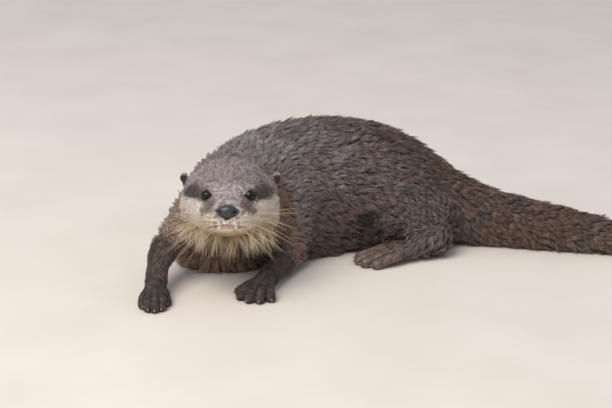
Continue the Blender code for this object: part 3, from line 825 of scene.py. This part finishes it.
# %% The skin's material
hide, nodes, links, shader = new_material("otter_skin")
painted = add(nodes, "ShaderNodeGroup", node_tree=markings_and_light)
grain = add(nodes, "ShaderNodeTexVoronoi", inputs={"Scale": 900.0})
creases = add(nodes, "ShaderNodeTexNoise", inputs={"Scale": 260.0, "Detail": 5.0})
place = add(nodes, "ShaderNodeTexCoord").outputs["Object"]
for texture in (grain, creases):
    links.new(place, texture.inputs["Vector"])
mottle = add(nodes, "ShaderNodeMapRange",
             inputs={"From Min": 0.35, "From Max": 0.65, "To Min": 0.05, "To Max": 0.6})
links.new(creases.outputs["Fac"], mottle.inputs["Value"])
links.new(mottle.outputs[0], painted.inputs["Tip"])
links.new(painted.outputs["Color"], shader.inputs["Base Color"])
height = add(nodes, "ShaderNodeMath", operation="ADD")
links.new(grain.outputs["Distance"], height.inputs[0])
links.new(creases.outputs["Fac"], height.inputs[1])
bump = add(nodes, "ShaderNodeBump", inputs={"Strength": 0.35, "Distance": 0.0006})
links.new(height.outputs[0], bump.inputs["Height"])
links.new(bump.outputs["Normal"], shader.inputs["Normal"])
bare_mask = add(nodes, "ShaderNodeAttribute", attribute_name="bare")
gloss = add(nodes, "ShaderNodeMapRange", inputs={"To Min": 0.75, "To Max": 0.42})
links.new(bare_mask.outputs["Fac"], gloss.inputs["Value"])
links.new(gloss.outputs[0], shader.inputs["Roughness"])
skin.data.materials.clear()
skin.data.materials.append(hide)
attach(skin, "root")
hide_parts(*[node for node in flesh if not node.startswith("eye")])
print("skin triangles:", len(triangles))

# %% [markdown]
# ## Strands
#
# A tuft, a whisker and a beard strand are the same thing at different sizes: a thin spike with a
# three-sided section that follows a few points and ends in a tip. One function builds any number of
# them at once as arrays, which is how hundreds of thousands of hairs stay quick to make.


# %% Strands as one mesh
def strand_mesh(name, paths, widths, thickness, upward, roots_uv, numbers):
    """paths: strands x points x 3. widths: strands x (points - 1). numbers: name to strands x points."""
    amount, steps = paths.shape[:2]
    heading = unit(np.gradient(paths, axis=1))[:, :-1]
    sideways = unit(np.cross(heading, upward[:, None]))
    ridge = np.cross(sideways, heading) * (widths * thickness)[..., None]
    half = sideways * (widths / 2)[..., None]
    rings = np.stack([paths[:, :-1] - half, paths[:, :-1] + half, paths[:, :-1] + ridge], axis=2)
    per = 3 * (steps - 1) + 1
    made = np.concatenate([rings.reshape(amount, -1, 3), paths[:, -1:]], axis=1)
    made[..., 2] = np.maximum(made[..., 2], 0.3 * MM)
    faces = [(0, 2, 1)]
    for ring in range(steps - 2):
        for k in range(3):
            a, b = 3 * ring + k, 3 * ring + (k + 1) % 3
            faces += [(a, b, b + 3), (a, b + 3, a + 3)]
    last = 3 * (steps - 2)
    faces += [(last + k, last + (k + 1) % 3, per - 1) for k in range(3)]
    faces = np.array(faces)
    corners = (faces[None] + per * np.arange(amount)[:, None, None]).reshape(-1)
    mesh = bpy.data.meshes.new(name)
    mesh.vertices.add(amount * per)
    mesh.vertices.foreach_set("co", made.ravel())
    mesh.loops.add(len(corners))
    mesh.loops.foreach_set("vertex_index", corners)
    mesh.polygons.add(len(corners) // 3)
    mesh.polygons.foreach_set("loop_start", np.arange(0, len(corners), 3))
    mesh.update(calc_edges=True)
    for label, values in numbers.items():
        spread = np.concatenate([np.repeat(values[:, :-1], 3, axis=1), values[:, -1:]], axis=1)
        write_number(mesh, label, spread.ravel())
    patch_across = np.append(np.tile([-1.0, 1.0, 0.0], steps - 1), 0.0) * 0.0011
    patch_along = np.append(np.repeat(np.linspace(0, 0.8, steps - 1), 3), 1.0) * 0.003 - 0.0015
    patch_along[2:-1:3] += 0.0004
    spots_uv = roots_uv[:, None] + np.stack([patch_across, patch_along], axis=1)[None]
    layer = mesh.uv_layers.new(name="OFBake")
    layer.data.foreach_set("uv", np.clip(spots_uv.reshape(-1, 2)[corners], 0, 1).ravel())
    return mesh


# %% [markdown]
# ## Where hairs grow
#
# Roots are scattered over the skin's triangles by area and by the part's own number of hairs. Each one
# takes its direction, length and masks from the triangle's corners. Hairs then gather into locks: every
# root finds the nearest lock's leader, and its tip is drawn towards the leader's tip, which gives the
# pointed clumps of an otter's coat.

# %% Scatter the roots
SEED = 7
rng = np.random.default_rng(SEED)
normal = normals_of(points)
lie = along_skin(lie)
a, b, c = (points[triangles[:, k]] for k in range(3))
area = 0.5 * np.linalg.norm(np.cross(b - a, c - a), axis=1) / MM ** 2
pressed_flat = grade(points[:, 2] / MM, 3.5, 6) + grade(normal[:, 2], -0.8, -0.5)
growing = hair_number * np.clip(pressed_flat, 0, 1) * (1 - np.maximum(lid_rim, mouth_colour))
growing *= 1 - grade(from_nose, 10.5, 8.5) * (back < -22)
wanted = np.cumsum(growing[triangles].mean(axis=1) * area)
root_triangle = np.searchsorted(wanted, np.arange(int(wanted[-1])) + rng.random(int(wanted[-1])))
root_triangle = np.minimum(root_triangle, len(triangles) - 1)
HAIRS = len(root_triangle)
spread = rng.random((HAIRS, 2))
spread = np.where(spread.sum(axis=1, keepdims=True) > 1, 1 - spread, spread)
weights = np.column_stack([1 - spread.sum(axis=1), spread])


def at_roots(values):
    """The skin's values at each root, from its triangle's corners."""
    corner_values = np.asarray(values)[triangles[root_triangle]]
    return np.einsum("hk...,hk->h...", corner_values, weights)


roots, root_normal, root_lie = at_roots(points), unit(at_roots(normal)), unit(at_roots(lie))
root_uv = np.einsum("hkc,hk->hc", unwrap[triangle_loops[root_triangle]], weights)
length, width = at_roots(hair_length) * MM, at_roots(hair_width) * MM
root_part = part[triangles[root_triangle, 0]]
print(HAIRS, "hairs on", round(area.sum() / 100), "square centimetres")

# %% Locks
HAIRS_PER_LOCK = 11
leaders = rng.permutation(HAIRS)[: HAIRS // HAIRS_PER_LOCK]
lock_tree = KDTree(len(leaders))
for index, leader in enumerate(leaders):
    lock_tree.insert(roots[leader], index)
lock_tree.balance()
lock_of = np.array([lock_tree.find(place)[1] for place in roots])
long_hair = grade(length / MM, 3, 9)
lock_size = rng.uniform(0.75, 1.15, len(leaders))[lock_of]
lock_turn = np.radians(rng.normal(0, 13, len(leaders)))[lock_of] * (0.3 + 0.7 * long_hair)
lock_rise = rng.normal(0, 6, len(leaders))[lock_of]
lock_light = rng.beta(2.0, 2.2, len(leaders))[lock_of]
turn = lock_turn + np.radians(rng.normal(0, 5, HAIRS))
heading = root_lie * np.cos(turn)[:, None] + np.cross(root_normal, root_lie) * np.sin(turn)[:, None]
length = length * lock_size * rng.uniform(0.8, 1.12, HAIRS)
rise = np.radians(np.clip(30 + lock_rise * long_hair + rng.normal(0, 4, HAIRS), 12, 50))
rise_end = np.radians(np.clip(8 + 0.8 * lock_rise * long_hair + rng.normal(0, 4, HAIRS), -6, 30))


def leaning(angle):
    return heading * np.cos(angle)[:, None] + root_normal * np.sin(angle)[:, None]


middle_of = roots + leaning(rise) * (0.5 * length)[:, None]
tip_of = middle_of + leaning(rise_end) * (0.5 * length)[:, None]
pull = (rng.uniform(0.35, 0.85, HAIRS) * (0.25 + 0.75 * long_hair))[:, None]
leader_of = leaders[lock_of]
tip_of = tip_of + pull * (tip_of[leader_of] - tip_of)
middle_of = middle_of + 0.35 * pull * (middle_of[leader_of] - middle_of)
base_of = roots - root_normal * np.minimum(0.6 * MM, 0.25 * length)[:, None]
print(len(leaders), "locks")

# %% Coat pieces
PIECE_TRIANGLES = 190_000
COAT_PIECES = {"head": ("head", "eye", "ear"), "neck": ("neck",), "chest": ("chest",), "loins": ("loins",),
               "tail": ("tail",), "forelegs": ("foreleg", "forepaw"), "hindlegs": ("hindleg", "hindfoot")}
root_masks = {name: at_roots(values) for name, values in MASKS.items()}
hair_light = np.clip(rng.normal(0.10, 0.08, HAIRS), 0, 0.4)
lock_gain = (0.22 + 1.0 * lock_light) * (1 + 0.25 * root_masks["cheek"] + 0.3 * root_masks["crown"])
SHORT = 3.2 * MM


def coat_piece(name, chosen, steps):
    """Hairs chosen by number, as one piece: short ones are a plain spike, long ones bend once."""
    whole_path = [base_of[chosen], middle_of[chosen], tip_of[chosen]]
    paths = np.stack(whole_path if steps == 3 else [whole_path[0], whole_path[2]], axis=1)
    narrowing = np.array([1.0, 0.72])[: steps - 1]
    widths = width[chosen, None] * narrowing
    along = np.linspace(0, 1, steps)
    numbers = {key: np.repeat(values[chosen, None], steps, axis=1) for key, values in root_masks.items()}
    numbers["tip"] = np.repeat((along ** 1.2)[None], len(chosen), axis=0)
    numbers["lock"] = np.repeat(lock_gain[chosen, None], steps, axis=1)
    numbers["lot"] = np.repeat(hair_light[chosen, None], steps, axis=1)
    mesh = strand_mesh(name, paths, widths, 0.42, root_normal[chosen], root_uv[chosen], numbers)
    piece = new_piece(name, mesh, fur)
    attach(piece, "root")
    return len(mesh.polygons)


total = 0
for name, prefixes in COAT_PIECES.items():
    on_piece = np.isin(root_part, [k for k, node in enumerate(flesh) if node.startswith(prefixes)])
    for label, steps, kind in (("short", 2, length < SHORT), ("long", 3, length >= SHORT)):
        chosen = np.flatnonzero(on_piece & kind)
        if len(chosen) == 0:
            continue
        chosen = chosen[np.argsort(roots[chosen, 0], kind="stable")]
        faces_each = 4 if steps == 2 else 10
        shares = -(-len(chosen) * faces_each // PIECE_TRIANGLES)
        for number, some in enumerate(np.array_split(chosen, shares)):
            total += coat_piece(f"coat_{name}_{label}_{number + 1}", some, steps)
print("coat triangles:", total)

# %% [markdown]
# ## Beard, whiskers and brow hairs
#
# The longest hairs stand free of the coat. Each leaves the skin along a heading of its own and bends
# towards the floor as it goes, so one function makes the beard under the jaw, the whiskers and the few
# hairs over each eye. The beard gathers into clumps, and the whiskers stay apart.

# %% Free hairs
pale, nodes, links, shader = new_material("pale_hair", Roughness=0.42)
tip = add(nodes, "ShaderNodeAttribute", attribute_name="tip")
links.new(mix(nodes, links, tip.outputs["Fac"], paint(176, 148, 112), paint(236, 220, 190)),
          shader.inputs["Base Color"])
FREE_STEPS, SUNK, THIN_END = 6, 0.5 * MM, 0.45


def free_hairs(name, starts, headings, lengths, droop, thick):
    """One hair from each start, turning from its heading towards the floor by its droop."""
    nearest = np.array([skin_tree.find(place)[1] for place in starts])
    path = [points[nearest] - normal[nearest] * SUNK]
    for step in range(1, FREE_STEPS):
        turned = headings + np.array([0, 0, -1]) * (droop * (step - 1) / (FREE_STEPS - 1))[:, None]
        path.append(path[-1] + unit(turned) * (lengths / (FREE_STEPS - 1))[:, None])
    paths = np.stack(path, axis=1)
    widths = thick[:, None] * np.linspace(1, THIN_END, FREE_STEPS - 1)
    ends = {"tip": np.tile(np.linspace(0, 1, FREE_STEPS), (len(starts), 1))}
    upward = normal[nearest] + np.array([0, -0.3, 0.01])
    piece = new_piece(name, strand_mesh(name, paths, widths, 0.8, upward, point_uv[nearest], ends), pale)
    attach(piece, "root")
    print(name, len(starts))


# %% Beard
skin_tree = KDTree(COUNT)
for index, place in enumerate(points):
    skin_tree.insert(place, index)
skin_tree.balance()
point_uv = np.zeros((COUNT, 2))
point_uv[triangles.ravel()] = unwrap[triangle_loops.ravel()]

BEARD_CLUMPS, BEARD_PER_CLUMP = 64, 9
on_jaw = (head_share > 0.6) * (up < -27) * (up > -52) * (across < 40) * (back > -24) * (back < 40)
under = np.flatnonzero(on_jaw * (normal[:, 2] < 0.25) * (points[:, 2] > 26 * MM))
clumps = points[rng.choice(under, BEARD_CLUMPS)]
BEARD = BEARD_CLUMPS * BEARD_PER_CLUMP
starts = np.repeat(clumps, BEARD_PER_CLUMP, axis=0) + rng.normal(0, 2.4, (BEARD, 3)) * MM
clump_way = np.repeat(rng.normal(0, 0.25, (BEARD_CLUMPS, 3)), BEARD_PER_CLUMP, axis=0)
outward = np.column_stack([(starts[:, 0] - BROW[0]) / MM / 60, np.full(BEARD, -0.25), np.full(BEARD, -0.6)])
gathered = (np.repeat(clumps, BEARD_PER_CLUMP, axis=0) - starts) / MM * 0.16
free_hairs("beard", starts, outward + clump_way + gathered, rng.uniform(12, 28, BEARD) * MM,
           rng.uniform(0.8, 1.6, BEARD), rng.uniform(0.3, 0.5, BEARD) * MM)

# %% Whiskers and brow hairs
WHISKERS = 26
for side_name, sign in (("left", 1), ("right", -1)):
    row, place_in_row = np.divmod(np.arange(WHISKERS), 7)
    starts = BROW + np.column_stack([sign * (7.5 + 1.5 * place_in_row + rng.normal(0, 0.4, WHISKERS)),
                                     -27 + 1.1 * place_in_row, -12.5 - 2.5 * row]) * MM
    headings = np.column_stack([sign * (0.75 + 0.07 * place_in_row), -0.40 + 0.10 * place_in_row,
                                0.10 - 0.24 * row]) + rng.normal(0, 0.07, (WHISKERS, 3))
    free_hairs(f"whiskers_{side_name}", starts, headings, rng.uniform(26, 56, WHISKERS) * MM,
               rng.uniform(0.25, 0.9, WHISKERS), rng.uniform(0.34, 0.5, WHISKERS) * MM)

BROW_HAIRS = 5
for side_name, sign in (("left", 1), ("right", -1)):
    starts = EYE_MIDDLES[side_name] + rng.normal(0, 1.6, (BROW_HAIRS, 3)) * MM + np.array([0, -1, 8]) * MM
    headings = np.array([sign * 0.5, -0.35, 0.9]) + rng.normal(0, 0.2, (BROW_HAIRS, 3))
    free_hairs(f"brow_hairs_{side_name}", starts, headings, rng.uniform(9, 15, BROW_HAIRS) * MM,
               rng.uniform(0.2, 0.7, BROW_HAIRS), np.full(BROW_HAIRS, 0.3 * MM))

# %% [markdown]
# ## Claws
#
# This otter's claws are small, blunt pegs that hardly reach past the pads of the toes.

# %% Claws
CLAW_LENGTH, CLAW_RADIUS, CLAW_POINT = 4.2 * MM, 1.05 * MM, 0.35
horn, nodes, links, shader = new_material("claw_horn", Roughness=0.38)
shader.inputs["Base Color"].default_value = paint(150, 118, 100)
for node in PAW_NODES:
    pegs = bmesh.new()
    for _, tip_place, joint, radius in toes_of(node):
        ahead = unit(unit((tip_place - joint) * (1, 1, 0)) + np.array([0, 0, -0.22]))
        spot = Vector(tip_place + ahead * (radius + 0.3 * MM) + np.array([0, 0, 0.25]) * radius)
        turn_ahead = Vector(ahead).to_track_quat("Z", "Y").to_matrix().to_4x4()
        bmesh.ops.create_cone(pegs, cap_ends=True, segments=12, depth=CLAW_LENGTH,
                              radius1=CLAW_RADIUS, radius2=CLAW_RADIUS * CLAW_POINT,
                              matrix=Matrix.Translation(spot) @ turn_ahead)
    mesh = bpy.data.meshes.new(f"claws_{node}")
    pegs.to_mesh(mesh)
    pegs.free()
    mesh.shade_smooth()
    claws = new_piece(f"claws_{node}", mesh, horn)
    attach(claws, "root")
print("claws on", len(PAW_NODES), "paws")

# %% [markdown]
# ## Eyes
#
# An otter's eye is dark and wet, with the clear cornea standing a little proud of the ball. The ball is
# a turned sphere with its pole along the gaze, so its rings run round the pupil, and a mask by angle
# paints pupil, iris and rim.

# %% Eyeballs
eye_paint, nodes, links, shader = new_material(
    "wet_eye", Roughness=0.07, Specular_IOR_Level=0.3, Coat_Weight=0.1)
angle = add(nodes, "ShaderNodeAttribute", attribute_name="from_gaze")
ramp = add(nodes, "ShaderNodeValToRGB")
ramp.color_ramp.elements[0].color = (0.004, 0.003, 0.003, 1)
ramp.color_ramp.elements[0].position = 0.26
ramp.color_ramp.elements[1].color = paint(34, 22, 17)
ramp.color_ramp.elements[1].position = 0.36
for position, shade in ((0.52, paint(24, 16, 14)), (0.62, paint(10, 8, 8)), (1.0, paint(14, 11, 11))):
    ramp.color_ramp.elements.new(position).color = shade
links.new(angle.outputs["Fac"], ramp.inputs["Fac"])
links.new(ramp.outputs["Color"], shader.inputs["Base Color"])
for side_name, place in EYE_MIDDLES.items():
    ball = bmesh.new()
    bmesh.ops.create_uvsphere(ball, u_segments=48, v_segments=32, radius=EYE_RADIUS)
    for vertex in ball.verts:
        vertex.co *= 1 + 0.05 * float(grade(vertex.co.z / EYE_RADIUS, 0.72, 1))
    turn_to_gaze = Vector(GAZE[side_name]).to_track_quat("Z", "Y").to_matrix().to_4x4()
    bmesh.ops.transform(ball, matrix=Matrix.Translation(Vector(place)) @ turn_to_gaze, verts=ball.verts)
    mesh = bpy.data.meshes.new(f"eyeball_{side_name}")
    ball.to_mesh(mesh)
    ball.free()
    mesh.shade_smooth()
    eye = new_piece(f"eyeball_{side_name}", mesh, eye_paint)
    turned = unit(read_points(mesh) - place) @ GAZE[side_name]
    write_number(mesh, "from_gaze", np.degrees(np.arccos(np.clip(turned, -1, 1))) / 90)
    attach(eye, "root")
    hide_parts(f"eye_{side_name}")
print("eyes", round(2 * EYE_RADIUS / MM, 1), "mm across")

# %% [markdown]
# ## Nose
#
# The nose is bare, damp leather: a shield that is widest at its wings, where the nostrils open as
# commas, and narrow above and below. It starts as a fine ball and is pressed into shape by its height.

# %% Nose
leather, nodes, links, shader = new_material(
    "nose_leather", Roughness=0.34, Coat_Weight=0.25, Coat_Roughness=0.3)
pebbles = add(nodes, "ShaderNodeTexVoronoi", inputs={"Scale": 1500.0})
links.new(add(nodes, "ShaderNodeTexCoord").outputs["Object"], pebbles.inputs["Vector"])
pebbled = mix(nodes, links, pebbles.outputs["Distance"], paint(34, 34, 39), paint(58, 59, 66))
# The nostrils are painted near black: painted shade for the hollows inside them.
inside = add(nodes, "ShaderNodeAttribute", attribute_name="nostril")
links.new(mix(nodes, links, inside.outputs["Fac"], pebbled, paint(8, 7, 8)), shader.inputs["Base Color"])
bump = add(nodes, "ShaderNodeBump", inputs={"Strength": 0.4, "Distance": 0.0003})
links.new(pebbles.outputs["Distance"], bump.inputs["Height"])
links.new(bump.outputs["Normal"], shader.inputs["Normal"])

pad = bmesh.new()
bmesh.ops.create_icosphere(pad, subdivisions=5, radius=1)
nose_low, nose_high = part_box("nose")
NOSE_HALF = np.array((nose_high - nose_low) / 2)
for vertex in pad.verts:
    x, y, z = vertex.co
    wide = float(np.interp(z, [-1, -0.6, -0.1, 0.2, 0.55, 1], [0.5, 0.72, 1.02, 1.06, 0.80, 0.66]))
    squared = 1 - 0.10 * z ** 4
    nostril_z = z - 0.12 - 0.10 * (abs(x) - 0.6)
    nostril = math.exp(-((abs(x) - 0.66) / 0.20) ** 2 - (nostril_z / 0.15) ** 2) * (y < 0)
    groove = math.exp(-(x / 0.07) ** 2) * (z < 0.1) * (y < 0)
    vertex.co = Vector((x * wide * NOSE_HALF[0], (y + 0.62 * nostril + 0.08 * groove) * NOSE_HALF[1] * 1.02,
                        z * squared * NOSE_HALF[2] * 0.96))
bmesh.ops.translate(pad, verts=pad.verts, vec=Vector(NOSE_MIDDLE))
bmesh.ops.smooth_vert(pad, verts=pad.verts, factor=0.5, use_axis_x=True, use_axis_y=True, use_axis_z=True)
mesh = bpy.data.meshes.new("nose_pad")
pad.to_mesh(mesh)
pad.free()
mesh.shade_smooth()
nose_pad = new_piece("nose_pad", mesh, leather)
aside, _, high = ((read_points(mesh) - NOSE_MIDDLE) / NOSE_HALF).T
from_nostril = np.hypot((np.abs(aside) - 0.62) / 0.26, (high - 0.02 - 0.35 * (np.abs(aside) - 0.62)) / 0.20)
# This mask places the nostrils' painted shade.
write_number(mesh, "nostril", grade(from_nostril, 1.05, 0.6))
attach(nose_pad, "root")
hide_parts("nose")
print("nose", (2 * NOSE_HALF / MM).round(1), "mm")

# %% Sizes and finish
low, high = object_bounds()
print("dressed box in mm:", [round(v / MM) for v in high - low])
